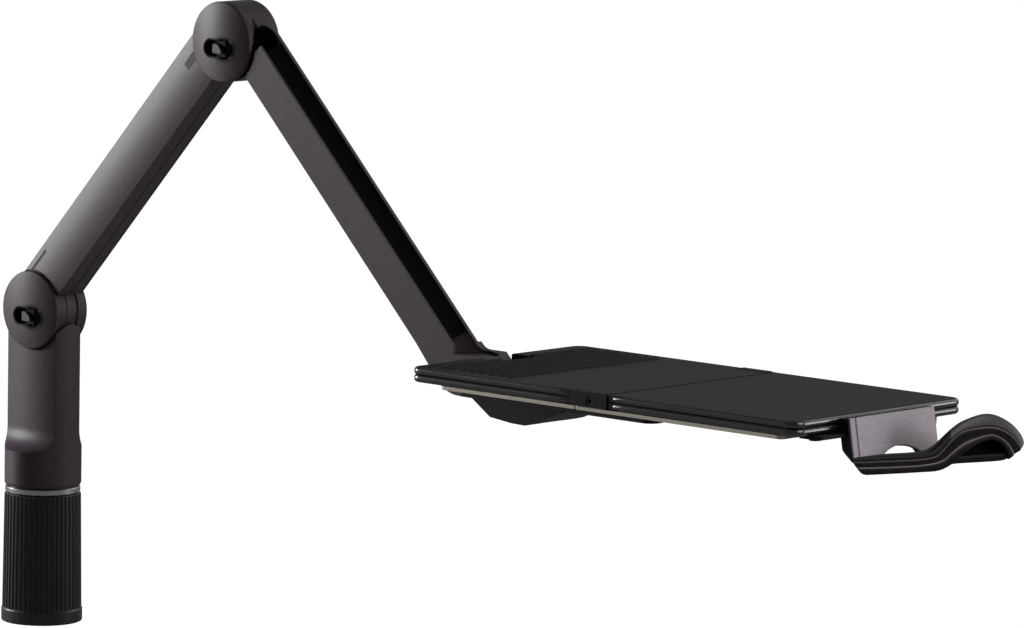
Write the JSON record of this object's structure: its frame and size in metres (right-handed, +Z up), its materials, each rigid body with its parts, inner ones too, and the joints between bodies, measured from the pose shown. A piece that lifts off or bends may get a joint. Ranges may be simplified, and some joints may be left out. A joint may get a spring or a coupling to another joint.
{
  "type": "swivel phone desk stand",
  "caption": "Jointed desk stand: turning column on a fluted base, two folding arm segments and a level tray that tilts and pulls out, with a grip at its front.",
  "frame": {"origin": "centre of the base's underside, where the desk bolt enters", "axes": "+Z up along the column's turning axis, +X the way the arm reaches, Y across the tray"},
  "size_m": [0.6574, 0.128, 0.3497],
  "materials": {
    "black_plastic": "fine-textured moulded black plastic",
    "rubber_black": "matt black",
    "charcoal_coat": "die-cast aluminium with speckled charcoal powder coat",
    "steel_bright": "bright turned or ground steel",
    "zinc_dark": "black zinc-plated steel",
    "plate_steel": "zinc-plated sheet steel",
    "plate_grey": "light grey satin anodised aluminium sheet"
  },
  "bodies": {
    "base": {"base_sleeve": "black_plastic", "base_spindle": "steel_bright", "bearing_ring": "steel_bright", "slip_washer": "black_plastic"},
    "column": {"column": "charcoal_coat", "column_grub_screw": "zinc_dark", "lower_friction_washer": "steel_bright"},
    "lower_arm": {"arm_lower": "charcoal_coat", "arm_lower_cover": "charcoal_coat", "lower_hinge_cap": "charcoal_coat", "lower_adjuster_insert": "black_plastic", "lower_adjusting_screw": "zinc_dark", "lower_pivot_bolt": "zinc_dark", "lower_pivot_nut": "steel_bright", "upper_hinge_cap": "charcoal_coat", "upper_adjuster_insert": "black_plastic", "upper_adjusting_screw": "zinc_dark", "upper_pivot_bolt": "zinc_dark", "upper_pivot_nut": "steel_bright", "upper_friction_washer": "steel_bright"},
    "upper_arm": {"arm_upper": "charcoal_coat"},
    "tray": {"tray_bracket": "black_plastic", "bracket_screws": "zinc_dark", "tilt_bolt": "zinc_dark", "tilt_nut": "steel_bright", "tilt_washers": "steel_bright", "tray_rear": "black_plastic", "tray_rear_plate": "plate_steel", "slide_rail_near": "black_plastic", "slide_rail_far": "black_plastic", "side_clamp_near": "black_plastic", "side_clamp_far": "black_plastic", "clamp_screw_near": "zinc_dark", "clamp_screw_far": "zinc_dark"},
    "tray_end": {"tray_front": "black_plastic", "tray_front_plate": "plate_steel", "front_bracket": "black_plastic", "front_bracket_screws": "zinc_dark", "front_plate": "plate_grey", "pull_grip": "black_plastic"}
  },
  "joints": [
    {"name": "base_swivel", "type": "hinge", "parent": "base", "child": "column", "pos_m": [0, 0, 0.0715], "axis": [0, 0, 1], "continuous": true},
    {"name": "lower_hinge", "type": "hinge", "parent": "column", "child": "lower_arm", "pos_m": [0, 0, 0.1718], "axis": [0, -1, 0], "range_deg": [-30, 72]},
    {"name": "elbow_hinge", "type": "hinge", "parent": "lower_arm", "child": "upper_arm", "pos_m": [0.14445, 0, 0.32834], "axis": [0, -1, 0], "range_deg": [-55, 90]},
    {"name": "tray_tilt", "type": "hinge", "parent": "upper_arm", "child": "tray", "pos_m": [0.36679, 0, 0.16078], "axis": [0, -1, 0], "range_deg": [-45, 20]},
    {"name": "tray_slide", "type": "slide", "parent": "tray", "child": "tray_end", "axis": [1, 0, 0], "range_m": [0, 0.06]}
  ]
}
